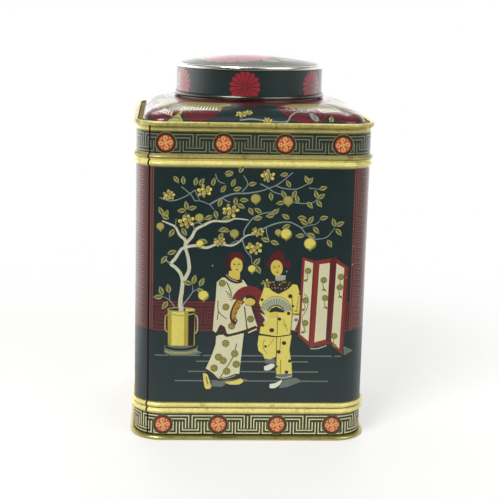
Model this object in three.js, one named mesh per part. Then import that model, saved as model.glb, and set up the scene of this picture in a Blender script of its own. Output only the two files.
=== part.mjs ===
// A square tea caddy in printed tinplate: a rounded-square body with a lapped side seam, a hemmed base,
// a domed shoulder, a round neck collar and a slip lid that lifts straight up off the collar.
// Millimetres, +Z up, origin in the middle of the footprint on the surface that the tin stands on.
import * as THREE from 'three';

// ---- Driving dimensions ----

const sheet = 0.3; // tinplate thickness
const gap = 0.3; // air between two sheets that are folded or slipped together

const bodyWidth = 88; // across the flat faces, along X
const bodyDepth = 88; // across the flat faces, along Y
const cornerRadius = 11; // outside radius of the upright corners
const rimTop = 122.1; // from the floor up to the top of the seam round the shoulder
const cornerFacets = 5; // flats in each quarter turn
const sideFacets = 5; // strips along each straight side where a piece turns from square to round

const lowBeadHeight = 12.8; // middle of the lower pair of rolled beads
const highBeadDrop = 14.2; // from the top seam down to the middle of the upper pair
const beadPitch = 2.4; // from one bead of a pair to the other
const beadHalfWidth = 1.1;
const beadRise = 1.1; // how far a bead stands out of the flat sheet
const beadFacets = 4;

const seamAngle = 30; // degrees round the front left corner, from the front face to the side seam
const lapLength = 5; // how far the inner edge of the blank runs behind the outer edge
const jogStart = 0.9; // where the inner edge starts to step inwards, before the seam
const jogEnd = 0.3; // where that step ends
const foldSpacing = 0.5; // least distance between two upright folds

const hemOut = 1.5; // how far the base hem stands out of the body
const hemHeight = 1.7;
const baseRecess = 1.2; // height of the base panel's underside
const panelInset = 8; // from the body's outside to the step in the base panel
const panelStep = 0.6; // height of that step

const rimOut = 1.1; // how far the top seam stands out of the body
const rimHeight = 1.7;
const ledgeDrop = 0.6; // from the seam's top down to the ledge
const ledgeWidth = 2.4; // from the body's outer face in to the foot of the dome
const domeRise = 6.7; // from the ledge up to the neck
const domeSteps = 6;

const neckRadius = 28.3; // outside of the collar that the lid slips over
const neckHeight = 11.2; // collar above the top of the dome
const neckCurl = 0.8; // radius of the curl round the mouth
const neckCurlDepth = 1.76; // from the mouth down to the edge of that curl
const curlSteps = 5;
const neckFlange = 1.0; // width of the flange at the collar's foot
const holeEdge = 2.2; // length of the shoulder's turned-down edge round the collar
const lidClearance = 0.35; // between the collar and the lid's hoop, on the radius

const lidSeat = 0.4; // air between the shoulder and the lid's edge when the lid is pushed home
const lidHeadroom = 1.9; // from the collar's mouth up to the top of the seam round the lid
const crownRise = 3.3; // from that seam up to the middle of the lid's dome
const lidSeamHeight = 1.4;
const lidCurlHeight = 1.8;
const lidCurlOut = 1.05;
const crownFieldInset = 2.2; // from the lid's rim in to the foot of its dome
const crownSteps = 6;

const lapClear = 2 * (sheet + gap); // from the body's outer face in to the free space behind the lap
const foldEase = sheet / 3; // small flat that eases each outer fold

// ---- Rounded square outlines ----

const halfX = bodyWidth / 2;
const halfY = bodyDepth / 2;
const straightX = bodyWidth - 2 * cornerRadius;
const straightY = bodyDepth - 2 * cornerRadius;
const cornerArc = (cornerRadius * Math.PI) / 2;
const perimeter = 2 * (straightX + straightY) + 4 * cornerArc;

// The four sides in order: front, right, back, left. Each is a straight run and then a corner.
const sides = [
  { length: straightX, from: [-straightX / 2, -halfY], along: [1, 0] },
  { length: straightY, from: [halfX, -straightY / 2], along: [0, 1] },
  { length: straightX, from: [straightX / 2, halfY], along: [-1, 0] },
  { length: straightY, from: [-halfX, straightY / 2], along: [0, -1] },
];

// A point on the outline, at a distance along it from the front face's left end, moved out by offset.
function outlinePoint(distance, offset) {
  let rest = ((distance % perimeter) + perimeter) % perimeter;
  for (const side of sides) {
    const [ax, ay] = side.along;
    const [nx, ny] = [ay, -ax];
    const [x0, y0] = side.from;
    if (rest <= side.length) {
      return [x0 + ax * rest + nx * offset, y0 + ay * rest + ny * offset];
    }
    rest -= side.length;
    if (rest <= cornerArc) {
      const turn = rest / cornerRadius;
      const cx = x0 + ax * side.length - nx * cornerRadius;
      const cy = y0 + ay * side.length - ny * cornerRadius;
      const reach = cornerRadius + offset;
      const dx = nx * Math.cos(turn) + ax * Math.sin(turn);
      const dy = ny * Math.cos(turn) + ay * Math.sin(turn);
      return [cx + dx * reach, cy + dy * reach];
    }
    rest -= cornerArc;
  }
  return outlinePoint(0, offset);
}

// Distances along the outline where a facet starts; each straight side is cut into strips.
function outlineStations(strips) {
  const stations = [];
  let start = 0;
  for (const side of sides) {
    for (let i = 0; i < strips; i += 1) {
      stations.push(start + (side.length * i) / strips);
    }
    for (let i = 0; i < cornerFacets; i += 1) {
      stations.push(start + side.length + (cornerArc * i) / cornerFacets);
    }
    start += side.length + cornerArc;
  }
  return stations;
}

// ---- Closed solids from rings of points ----

// Joins closed sections with the same number of points into a tube; an open run gets end caps.
function solidFromSections(sections, section2d, isLoop) {
  const count = sections[0].length;
  const positions = sections.flat(2);
  const index = [];
  const last = isLoop ? sections.length : sections.length - 1;
  for (let i = 0; i < last; i += 1) {
    const here = i * count;
    const next = ((i + 1) % sections.length) * count;
    for (let j = 0; j < count; j += 1) {
      const k = (j + 1) % count;
      index.push(here + j, next + j, next + k);
      index.push(here + j, next + k, here + k);
    }
  }
  if (!isLoop) {
    const end = (sections.length - 1) * count;
    for (const [a, b, c] of THREE.ShapeUtils.triangulateShape(section2d, [])) {
      index.push(a, b, c);
      index.push(end + a, end + c, end + b);
    }
  }
  const geometry = new THREE.BufferGeometry();
  geometry.setAttribute('position', new THREE.Float32BufferAttribute(positions, 3));
  geometry.setIndex(index);
  geometry.computeVertexNormals();
  return geometry;
}

// Joins rings that start and end at a middle point, for a plate that has no hole.
function plateFromRings(topMiddle, rings, bottomMiddle) {
  const count = rings[0].length;
  const positions = [topMiddle, ...rings.flat(), bottomMiddle].flat();
  const index = [];
  const bottom = 1 + rings.length * count;
  for (let j = 0; j < count; j += 1) {
    const k = (j + 1) % count;
    index.push(0, 1 + j, 1 + k);
    index.push(bottom, bottom - count + k, bottom - count + j);
    for (let i = 0; i < rings.length - 1; i += 1) {
      const here = 1 + i * count;
      const next = here + count;
      index.push(here + j, next + j, next + k);
      index.push(here + j, next + k, here + k);
    }
  }
  const geometry = new THREE.BufferGeometry();
  geometry.setAttribute('position', new THREE.Float32BufferAttribute(positions, 3));
  geometry.setIndex(index);
  geometry.computeVertexNormals();
  return geometry;
}

// A ring at a height: the body's outline, moved out by offset.
function outlineRing(stations, offset, z) {
  return stations.map((distance) => [...outlinePoint(distance, offset), z]);
}

function latheFromProfile(profile, segments) {
  const points = profile.map(([r, z]) => new THREE.Vector2(r, z));
  return new THREE.LatheGeometry(points, segments).rotateX(Math.PI / 2);
}

// ---- Body shell: one printed blank, bent round and lapped at the side seam ----

const bodyFoot = sheet + gap; // the body's flange stands on the base hem's lower fold
const bodyTop = rimTop - sheet - gap;
const beadPairCentres = [lowBeadHeight, rimTop - highBeadDrop];
const bodyHook = hemOut - sheet - gap; // width of the flange at the foot
const topHook = rimOut - sheet - gap; // width of the flange at the top

// Outline of the sheet from the foot up, as [out, z], with the bulge of each bead.
function beadedFace(out) {
  const points = [];
  for (const centre of beadPairCentres) {
    for (const side of [-1, 1]) {
      for (let i = 0; i <= beadFacets; i += 1) {
        const turn = (Math.PI * i) / beadFacets;
        const rise = out + beadRise * Math.sin(turn);
        points.push([rise, centre + (side * beadPitch) / 2 - beadHalfWidth * Math.cos(turn)]);
      }
    }
  }
  return points;
}

const bodySection = [
  [bodyHook, bodyFoot],
  [bodyHook, bodyFoot + sheet],
  [0, bodyFoot + sheet],
  ...beadedFace(0),
  [0, bodyTop - sheet],
  [topHook, bodyTop - sheet],
  [topHook, bodyTop],
  [-sheet, bodyTop],
  ...beadedFace(-sheet).reverse(),
  [-sheet, bodyFoot],
];

// The blank as [distance along the outline, inset]: once round from the seam, then in behind itself.
const seamDistance = perimeter - (cornerRadius * seamAngle * Math.PI) / 180;
const seamReturn = seamDistance + perimeter;
const lapInset = -(sheet + gap);
const bodyRun = [[seamDistance, 0]];
for (let turn = 0; turn <= 1; turn += 1) {
  for (const distance of outlineStations(1)) {
    const along = distance + turn * perimeter;
    if (along > seamDistance + foldSpacing && along < seamReturn - jogStart - foldSpacing) {
      bodyRun.push([along, 0]);
    }
  }
}
bodyRun.push([seamReturn - jogStart, 0]);
bodyRun.push([seamReturn - jogEnd, lapInset]);
bodyRun.push([seamReturn + lapLength / 2, lapInset]);
bodyRun.push([seamReturn + lapLength, lapInset]);

const bodyShell = solidFromSections(
  bodyRun.map(([distance, inset]) =>
    bodySection.map(([out, z]) => [...outlinePoint(distance, out + inset), z])),
  bodySection.map(([out, z]) => new THREE.Vector2(out, z)),
  false,
);

// ---- Base end: a stamped plate whose edge is hemmed round the body's foot ----

const baseStations = outlineStations(1);
const hemInner = -lapClear; // outer face of the upright wall inside the body's foot
const panelTop = baseRecess + sheet;
const basePlate = plateFromRings(
  [0, 0, panelTop + panelStep],
  [
    [-panelInset - sheet, panelTop + panelStep],
    [-panelInset, panelTop],
    [hemInner, panelTop],
    [hemInner, sheet],
    [hemOut - sheet, sheet],
    [hemOut - sheet, hemHeight - sheet],
    [gap, hemHeight - sheet],
    [gap, hemHeight],
    [hemOut - foldEase, hemHeight],
    [hemOut, hemHeight - foldEase],
    [hemOut, foldEase],
    [hemOut - foldEase, 0],
    [hemInner - sheet, 0],
    [hemInner - sheet, baseRecess],
    [-panelInset - foldEase, baseRecess],
    [-panelInset - sheet - foldEase, baseRecess + panelStep],
  ].map(([out, z]) => outlineRing(baseStations, out, z)),
  [0, 0, baseRecess + panelStep],
);

// ---- Shoulder end: ledge and low dome, seamed over the body's top flange ----

const shoulderStations = outlineStations(sideFacets);
const roundFacets = shoulderStations.length;
const ledgeTop = rimTop - ledgeDrop;
const rimLand = lapClear + foldEase; // width of the seam's top, inside the body's outer face
const shoulderTop = ledgeTop + domeRise;
const holeRadius = neckRadius + gap;
const firstTurn = (-Math.PI * 3) / 4 + (Math.PI / 2) * (cornerFacets / 2 / (cornerFacets + sideFacets));

// One point of the dome: blends from the square foot of the dome to the round hole.
function domePoint(station, blend, footOut, holeOut, z) {
  const [x, y] = outlinePoint(shoulderStations[station], footOut);
  const angle = firstTurn + (2 * Math.PI * station) / roundFacets;
  const hx = Math.cos(angle) * holeOut;
  const hy = Math.sin(angle) * holeOut;
  return [x + (hx - x) * blend, y + (hy - y) * blend, z];
}

function domeSection(station, drop) {
  const points = [];
  for (let i = 0; i <= domeSteps; i += 1) {
    const turn = (Math.PI / 2) * (i / domeSteps);
    const z = ledgeTop + domeRise * Math.sin(turn) - drop;
    points.push(domePoint(station, 1 - Math.cos(turn), -ledgeWidth - drop, holeRadius + sheet - drop, z));
  }
  return points;
}

const shoulderSections = shoulderStations.map((distance, station) => {
  const at = ([out, z]) => [...outlinePoint(distance, out), z];
  const holeFoot = shoulderTop - holeEdge;
  return [
    ...[
      [-rimLand - sheet, ledgeTop],
      [-rimLand, rimTop],
      [rimOut - foldEase, rimTop],
      [rimOut, rimTop - foldEase],
      [rimOut, rimTop - rimHeight + foldEase],
      [rimOut - foldEase, rimTop - rimHeight],
      [gap, rimTop - rimHeight],
      [gap, rimTop - rimHeight + sheet],
      [rimOut - sheet, rimTop - rimHeight + sheet],
      [rimOut - sheet, rimTop - sheet],
      [-rimLand + foldEase, rimTop - sheet],
      [-rimLand - sheet + foldEase, ledgeTop - sheet],
    ].map(at),
    ...domeSection(station, sheet),
    domePoint(station, 1, 0, holeRadius + sheet, holeFoot + sheet),
    domePoint(station, 1, 0, holeRadius + sheet, holeFoot),
    domePoint(station, 1, 0, holeRadius, holeFoot),
    domePoint(station, 1, 0, holeRadius, shoulderTop - sheet / 2),
    ...domeSection(station, 0).reverse(),
  ].reverse();
});
const shoulderEnd = solidFromSections(shoulderSections, [], true);

// ---- Neck collar: a hoop with a foot flange inside the tin and a curl turned in round the mouth ----

const collarFoot = shoulderTop - holeEdge - gap - sheet;
const neckTop = shoulderTop + neckHeight;
const curlPoints = [];
for (let i = 1; i <= curlSteps; i += 1) {
  const turn = (Math.PI * i) / curlSteps;
  const reach = neckRadius - neckCurl + neckCurl * Math.cos(turn);
  curlPoints.push([reach, neckTop - neckCurl + neckCurl * Math.sin(turn)]);
}
const neckCollar = latheFromProfile([
  [neckRadius - sheet, collarFoot],
  [neckRadius + neckFlange, collarFoot],
  [neckRadius + neckFlange, collarFoot + sheet],
  [neckRadius, collarFoot + sheet],
  [neckRadius, neckTop - neckCurl],
  ...curlPoints,
  [neckRadius - sheet, neckTop - neckCurlDepth],
  [neckRadius - sheet, collarFoot],
], roundFacets);

// ---- Lid: a hoop with a curled edge, closed by a domed crown that is seamed on ----

const hoopInner = neckRadius + lidClearance;
const hoopOuter = hoopInner + sheet;
const lidBottom = shoulderTop + lidSeat;
const lidSeamTop = neckTop + lidHeadroom;
const lidTop = lidSeamTop + crownRise;
const hoopTop = lidSeamTop - sheet - gap;
const hemCurl = [];
for (let i = 0; i <= curlSteps; i += 1) {
  const turn = -Math.PI / 2 + (Math.PI * i) / curlSteps;
  const reach = hoopOuter + lidCurlOut * Math.cos(turn);
  hemCurl.push([reach, lidBottom + (lidCurlHeight / 2) * (1 + Math.sin(turn))]);
}
const lidBand = latheFromProfile([
  [hoopInner, lidBottom + sheet],
  ...hemCurl,
  [hoopOuter, hoopTop],
  [hoopInner, hoopTop],
  [hoopInner, lidBottom + sheet],
], roundFacets);

const crownRadius = hoopOuter + gap + sheet;
const crownFoot = crownRadius - crownFieldInset;

function crownDome(drop) {
  const points = [];
  for (let i = 0; i <= crownSteps; i += 1) {
    const share = i / crownSteps;
    points.push([crownFoot * share, lidTop - crownRise * share * share - drop]);
  }
  return points;
}

const crownUnderside = crownDome(sheet);
const crownTopside = crownDome(0).reverse();
const lidCrown = latheFromProfile([
  ...crownUnderside,
  [crownRadius - sheet, lidSeamTop - sheet],
  [crownRadius - sheet, lidSeamTop - lidSeamHeight],
  [crownRadius, lidSeamTop - lidSeamHeight],
  [crownRadius, lidSeamTop - sheet],
  [crownRadius - sheet, lidSeamTop],
  ...crownTopside,
], roundFacets);

// ---- The tin ----

function tinPiece(name, geometry, color, roughness, metalness) {
  const mesh = new THREE.Mesh(geometry, new THREE.MeshStandardMaterial({ color, roughness, metalness }));
  mesh.name = name;
  return mesh;
}

const tin = new THREE.Group();
tin.name = 'tea_caddy';
tin.add(tinPiece('body_shell', bodyShell, 0x1f2e2f, 0.3, 0.4));
tin.add(tinPiece('base_end', basePlate, 0x7d7a55, 0.4, 0.8));
tin.add(tinPiece('shoulder_end', shoulderEnd, 0xa09a4a, 0.3, 0.6));
tin.add(tinPiece('neck_collar', neckCollar, 0xb9b6a6, 0.35, 0.9));

const lid = new THREE.Group();
lid.name = 'lid';
lid.add(tinPiece('lid_band', lidBand, 0x18282b, 0.3, 0.4));
lid.add(tinPiece('lid_crown', lidCrown, 0x8f3b3f, 0.3, 0.5));
tin.add(lid);

export default tin;
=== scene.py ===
import math
import random

import bpy
import numpy as np
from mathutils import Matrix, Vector
from mathutils.geometry import delaunay_2d_cdt


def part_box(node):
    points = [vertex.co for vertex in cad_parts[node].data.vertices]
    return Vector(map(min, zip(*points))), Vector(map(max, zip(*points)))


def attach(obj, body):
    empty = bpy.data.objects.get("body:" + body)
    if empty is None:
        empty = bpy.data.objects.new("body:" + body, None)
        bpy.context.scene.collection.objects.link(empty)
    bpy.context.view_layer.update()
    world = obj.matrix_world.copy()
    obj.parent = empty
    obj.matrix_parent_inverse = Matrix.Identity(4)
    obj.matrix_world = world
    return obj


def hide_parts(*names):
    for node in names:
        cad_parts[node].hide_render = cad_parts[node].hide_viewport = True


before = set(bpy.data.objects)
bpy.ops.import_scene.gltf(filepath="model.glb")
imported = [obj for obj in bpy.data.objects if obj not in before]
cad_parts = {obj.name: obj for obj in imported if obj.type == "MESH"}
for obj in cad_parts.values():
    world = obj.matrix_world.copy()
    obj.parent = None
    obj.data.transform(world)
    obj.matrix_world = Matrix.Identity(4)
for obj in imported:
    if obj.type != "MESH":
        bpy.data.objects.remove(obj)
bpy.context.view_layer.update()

# ---------------------------------------------------------------- body wall
# One strip of tinplate bent round a form, its two edges lapped down the
# front-left corner, with two pairs of ribs rolled into it. Bare tin inside.

MM = 0.001


def mm(length):
    """One of the frame's lengths in millimetres, to the hundredth."""
    return round(length / MM, 2)


wall_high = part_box("body_shell")[1]
rib_pairs = ((11.6, 14.0), (106.7, 109.1))
rib_half, rib_rise = 1.15, 1.05
rib_room = 1.1
half = round(mm(wall_high.x) - rib_room, 2)
bend = 11.0
flat = half - bend
corner_mid = flat + bend * math.pi / 4
tin = 0.3
skin_gap = 0.04
wall_foot, print_foot = 0.8, 1.2
wall_top = 120.6


def rib(z):
    """How far the wall stands out at height z."""
    out = 0.0
    for centre in rib_pairs[0] + rib_pairs[1]:
        across = abs(z - centre) / rib_half
        if across < 1:
            out = max(out, rib_rise * math.cos(across * math.pi / 2) ** 0.85)
    return out


def side_point(side, u, out):
    """Point and normal on the square-plan wall: side 0 is the front, u runs round it."""
    if abs(u) <= flat:
        x, y, nx, ny = u, -(half + out), 0.0, -1.0
    else:
        a = (abs(u) - flat) / bend
        s = math.copysign(1, u)
        nx, ny = s * math.sin(a), -math.cos(a)
        x = s * flat + (bend + out) * nx
        y = -flat + (bend + out) * ny
    for _ in range(side):
        x, y, nx, ny = -y, x, -ny, nx
    return x, y, nx, ny


def wall_place(side):
    """Maps (u, z) on one side of the wall to a point in metres and its normal."""
    def place(u, z):
        slope = (rib(z + 0.05) - rib(z - 0.05)) / 0.1
        x, y, nx, ny = side_point(side, u, rib(z))
        return Vector((x, y, z)) * MM, Vector((nx, ny, -slope)).normalized()
    return place


def span(a, b, step):
    """Even steps from a to b, none longer than step."""
    n = max(1, math.ceil(abs(b - a) / step))
    return [a + (b - a) * i / n for i in range(n + 1)]


def around(ends, long_step, short_step):
    """Places along one side, close together on the bends and wide apart on the flat."""
    left = span(ends[0], -flat, short_step)[:-1]
    return left + span(-flat, flat, long_step)[:-1] + span(flat, ends[1], short_step)


def solid(name, rows, ends=(), crease=35):
    """A skin through rings of points; the ends are faces that close it."""
    n = len(rows[0])
    verts = [Vector(point) * MM for row in rows for point in row]
    faces = []
    for j in range(0, (len(rows) - 1) * n, n):
        for i in range(n):
            k = (i + 1) % n
            faces.append((j + i, j + k, j + n + k, j + n + i))
    mesh = bpy.data.meshes.new(name)
    mesh.from_pydata(verts, [], faces + [tuple(end) for end in ends])
    mesh.update()
    for facet in mesh.polygons:
        facet.use_smooth = True
    mesh.set_sharp_from_angle(angle=math.radians(crease))
    obj = bpy.data.objects.new(name, mesh)
    bpy.context.scene.collection.objects.link(obj)
    return obj


def colour(code):
    """A paint chart code as linear light."""
    parts = [int(code[i:i + 2], 16) / 255 for i in (0, 2, 4)]
    return [c / 12.92 if c <= 0.04045 else ((c + 0.055) / 1.055) ** 2.4 for c in parts] + [1.0]


def group(name, ins, outs):
    """A shader node group with the named inputs and outputs."""
    tree = bpy.data.node_groups.new(name, "ShaderNodeTree")
    for kind, label, value in ins:
        tree.interface.new_socket(label, in_out="INPUT", socket_type=kind).default_value = value
    for kind, label in outs:
        tree.interface.new_socket(label, in_out="OUTPUT", socket_type=kind)
    return tree, tree.nodes.new("NodeGroupInput").outputs, tree.nodes.new("NodeGroupOutput").inputs


def node(tree, kind, inputs, **settings):
    """A shader node; each input is a number or another node's socket."""
    made = tree.nodes.new(kind)
    for key, value in settings.items():
        setattr(made, key, value)
    for key, value in inputs.items():
        if isinstance(value, bpy.types.NodeSocket):
            tree.links.new(value, made.inputs[key])
        else:
            made.inputs[key].default_value = value
    return made


def here(tree):
    """The place on the piece, in metres."""
    return node(tree, "ShaderNodeTexCoord", {}).outputs["Object"]


def calc(tree, operation, *values):
    """A sum or product of numbers and sockets."""
    return node(tree, "ShaderNodeMath", dict(enumerate(values)), operation=operation).outputs[0]


def noise(tree, where, scale, detail=2.0, roughness=0.5):
    """A cloudy value from 0 to 1 over the surface."""
    inputs = {"Vector": where, "Scale": scale, "Detail": detail, "Roughness": roughness}
    return node(tree, "ShaderNodeTexNoise", inputs).outputs["Fac"]


def ramp(tree, value, start, end, low=0.0, high=1.0, kind="LINEAR"):
    """Runs from low to high while the value goes from start to end."""
    inputs = {"Value": value, "From Min": start, "From Max": end, "To Min": low, "To Max": high}
    return node(tree, "ShaderNodeMapRange", inputs, interpolation_type=kind).outputs[0]


def blend(tree, amount, under, over):
    """The colour under, covered by the colour over."""
    return node(tree, "ShaderNodeMix", {"Factor": amount, 6: under, 7: over}, data_type="RGBA").outputs[2]


def scaled(tree, colour_in, by):
    """The colour made lighter or darker."""
    return node(tree, "ShaderNodeVectorMath", {0: colour_in, "Scale": by}, operation="SCALE").outputs[0]


# Print wear: uneven ink, small chips down to the tin in patches, and brown stains.
wear_group, given, out = group(
    "wear",
    [("NodeSocketColor", "Colour", (1, 1, 1, 1)),
     ("NodeSocketColor", "Bare", (0.7, 0.68, 0.6, 1)),
     ("NodeSocketFloat", "Mottle", 0.06),
     ("NodeSocketFloat", "Chips", 0.5),
     ("NodeSocketFloat", "Stain", 0.0)],
    [("NodeSocketColor", "Colour"), ("NodeSocketFloat", "Rough"), ("NodeSocketFloat", "Height")])
t = wear_group
where = here(t)
fine = noise(t, where, 900.0, 3.0)
uneven = calc(t, "SUBTRACT", calc(t, "ADD", fine, noise(t, where, 90.0, 4.0)), 1.0)
level = calc(t, "MULTIPLY_ADD", calc(t, "MULTIPLY", uneven, given["Mottle"]), 5.0, 1.0)
inked = scaled(t, given["Colour"], level)
spots = node(t, "ShaderNodeTexVoronoi", {"Vector": where, "Scale": 210.0}).outputs["Distance"]
chip = calc(t, "MULTIPLY", ramp(t, spots, 0.10, 0.06), ramp(t, noise(t, where, 60.0), 0.62, 0.66))
chipped = blend(t, calc(t, "MULTIPLY", chip, given["Chips"]), inked, given["Bare"])
rusty = ramp(t, noise(t, where, 170.0, 5.0, 0.65), 0.56, 0.68)
stained = blend(t, calc(t, "MULTIPLY", rusty, given["Stain"]), chipped, colour("4f3416"))
t.links.new(stained, out["Colour"])
t.links.new(noise(t, where, 35.0, 5.0, 0.6), out["Rough"])
t.links.new(calc(t, "MULTIPLY_ADD", fine, 0.02, noise(t, where, 55.0, 1.0)), out["Height"])

# The faint lengthwise lines that the rolling mill leaves in tinplate.
mill_group, given, out = group(
    "mill_lines",
    [("NodeSocketFloat", "Rough", 0.3)],
    [("NodeSocketFloat", "Rough"), ("NodeSocketFloat", "Shade")])
t = mill_group
where = here(t)
drawn = node(t, "ShaderNodeVectorMath", {0: where, 1: (60.0, 60.0, 1800.0)},
             operation="MULTIPLY").outputs[0]
lines = calc(t, "ADD", noise(t, drawn, 1.0, 3.0), noise(t, where, 70.0, 5.0))
uneven = calc(t, "SUBTRACT", lines, 1.0)
t.links.new(calc(t, "MULTIPLY_ADD", uneven, 0.35, given["Rough"]), out["Rough"])
t.links.new(calc(t, "MULTIPLY_ADD", uneven, 0.5, 1.0), out["Shade"])


def new_material(name):
    """A material's node tree and its shader."""
    made = bpy.data.materials.new(name)
    made.use_nodes = True
    return made, made.node_tree, made.node_tree.nodes["Principled BSDF"].inputs


def metal(name, code, rough, plate=1.0):
    """Tinplate, bare or under a clear or tinted lacquer."""
    made, tree, skin = new_material(name)
    milled = node(tree, "ShaderNodeGroup", {}, node_tree=mill_group)
    milled.inputs["Rough"].default_value = rough
    tree.links.new(scaled(tree, colour(code)[:3], milled.outputs["Shade"]), skin["Base Color"])
    tree.links.new(milled.outputs["Rough"], skin["Roughness"])
    skin["Metallic"].default_value = plate
    return made


def ink(name, code, plate=0.0, rough=0.4, coat=0.45, mottle=0.05, chips=0.8, stain=0.0, gloss=0.5):
    """One printed colour under the tin's clear stoving varnish."""
    made, tree, skin = new_material(name)
    worn = node(tree, "ShaderNodeGroup", {}, node_tree=wear_group)
    for label, value in (("Colour", colour(code)), ("Mottle", mottle), ("Chips", chips), ("Stain", stain)):
        worn.inputs[label].default_value = value
    tree.links.new(worn.outputs["Colour"], skin["Base Color"])
    rub = ramp(tree, worn.outputs["Rough"], 0.0, 1.0, rough - 0.12, rough + 0.12)
    tree.links.new(rub, skin["Roughness"])
    relief = {"Height": worn.outputs["Height"], "Strength": 0.35, "Distance": 0.00025}
    bump = node(tree, "ShaderNodeBump", relief).outputs[0]
    tree.links.new(bump, skin["Normal"])
    tree.links.new(bump, skin["Coat Normal"])
    skin["Metallic"].default_value = plate
    skin["Specular IOR Level"].default_value = gloss
    skin["Coat Weight"].default_value = coat
    skin["Coat Roughness"].default_value = 0.1
    return made


tinplate = metal("tinplate", "b9b7ab", 0.34)

# The side seam: the left side's end jogs inward and runs on under the front's edge.
seam = math.radians(30)
lap, lap_depth = 5.0, 0.62
jog_from, jog_to = 0.7, 0.25
front_edge = -(flat + bend * seam)
end_of_left = flat + bend * (math.pi / 2 - seam)

course = [(0, u, 0.0) for u in around((front_edge, corner_mid), 6.0, 1.0)[:-1]]
for side in (1, 2):
    course += [(side, u, 0.0) for u in around((-corner_mid, corner_mid), 6.0, 1.0)[:-1]]
course += [(3, u, 0.0) for u in around((-corner_mid, end_of_left - jog_from), 6.0, 1.0)]
tucked = [(3, u, lap_depth) for u in span(end_of_left - jog_to, end_of_left + lap, 0.8)]
course += tucked
heights = [wall_foot]
for lower, upper in rib_pairs:
    heights += span(lower - rib_half, upper + rib_half, 0.2)
heights += [119.0, wall_top]


def wall_line(side, u, inset):
    """The wall's points at one height after another."""
    line = []
    for z in heights:
        x, y, _, _ = side_point(side, u, rib(z) - inset)
        line.append((x, y, z))
    return line


rows = []
for side, u, inset in course:
    rows.append(wall_line(side, u, skin_gap + inset) + wall_line(side, u, tin + inset)[::-1])
ring = len(rows[0])
last = (len(rows) - 1) * ring
body_wall = solid("body_wall", rows, (reversed(range(ring)), range(last, last + ring)))
body_wall.data.materials.append(tinplate)
body_wall.data.materials.append(ink("seam_shade", "2a1d17", rough=0.6, coat=0.0))
# The lap and its jog show as a dark line beside the front's edge.
first_dark = len(course) - len(tucked) - 1
for facet in body_wall.data.polygons:
    outside = all(v % ring < len(heights) for v in facet.vertices)
    if outside and len(facet.vertices) == 4 and max(facet.vertices) // ring >= first_dark:
        facet.material_index = 1
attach(body_wall, "caddy")
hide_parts("body_shell")

# ---------------------------------------------------------------- printed sides
# Offset-lithographed inks and a clear varnish on the outside of the wall: gold
# over bright tin for the ribs and rims, a blue-black ground, a scene on each side.

INKS = {tone: ink("ink_" + tone, code, **finish) for tone, code, finish in (
    ("ground", "1a2d2d", dict(rough=0.42, mottle=0.09)),
    ("band", "26302a", dict(rough=0.42, mottle=0.08)),
    ("black", "17170f", dict(rough=0.42)),
    ("gold", "faee96", dict(plate=0.15, rough=0.36, coat=0.5, mottle=0.08, chips=0.6, stain=0.35)),
    ("gold_mid", "d3c778", dict(plate=0.25, coat=0.4, mottle=0.1, stain=0.4)),
    # Dull gold: printed rules and the crown ring, and painted shade in the grooves between the ribs.
    ("gold_dull", "7f7a35", dict(plate=0.5, rough=0.42, coat=0.4, mottle=0.1)),
    # A darker copy of the gold: painted shade on the upper half of the top rib.
    ("gold_low", "b9ad68", dict(plate=0.45, coat=0.4, mottle=0.12, stain=0.5)),
    ("line", "878a68", {}),
    ("line_pale", "e9e3a4", {}),
    ("border", "5f2f2c", dict(mottle=0.1)),
    ("border_line", "8d5a52", {}),
    ("wall", "4e2828", dict(mottle=0.1)),
    ("wall_line", "7e3434", {}),
    ("red", "8c352e", dict(rough=0.38)),
    ("red_dark", "632427", dict(rough=0.38)),
    ("hair_dark", "3f1e25", {}),
    ("hair", "5f1f28", {}),
    ("cream", "e6e1b8", dict(mottle=0.03)),
    ("cream_shade", "b3b79a", {}),
    ("yellow", "ecdd6c", dict(rough=0.38, mottle=0.04)),
    ("pale_fruit", "b3aa5c", dict(mottle=0.08)),
    ("yellow_shade", "b8a53a", dict(rough=0.38)),
    ("leaf", "85854a", dict(mottle=0.09)),
    ("leaf_edge", "adab68", dict(mottle=0.09)),
    ("olive", "7b7b34", {}),
    ("bark", "d6d6b8", {}),
    ("twig", "8b9a95", {}),
    ("brown", "3a2a1a", {}),
    ("grey", "6e7a70", {}),
    ("amber", "b8922f", dict(mottle=0.08)),
    ("white", "f0eeda", dict(mottle=0.02)),
    ("orange", "c4472b", dict(rough=0.36)),
    ("peach", "e9b06d", dict(rough=0.36, mottle=0.04)),
    ("lid_red", "a82f38", dict(rough=0.3)),
    ("lid_red_dark", "7c1f2c", dict(rough=0.3)),
    ("wave", "7a2029", dict(rough=0.3, mottle=0.06)),
    ("flesh", "e2cc60", dict(rough=0.38, mottle=0.03)),
    ("sand", "a39a62", dict(rough=0.36, mottle=0.1)),
)}


def arc_points(x, z, r, start, end, n):
    """Points along an arc, angles in radians."""
    turns = [start + (end - start) * i / n for i in range(n + 1)]
    return [(x + r * math.cos(a), z + r * math.sin(a)) for a in turns]


# How much wider a line is across its square corners.
mitre = 1.41421


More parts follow.
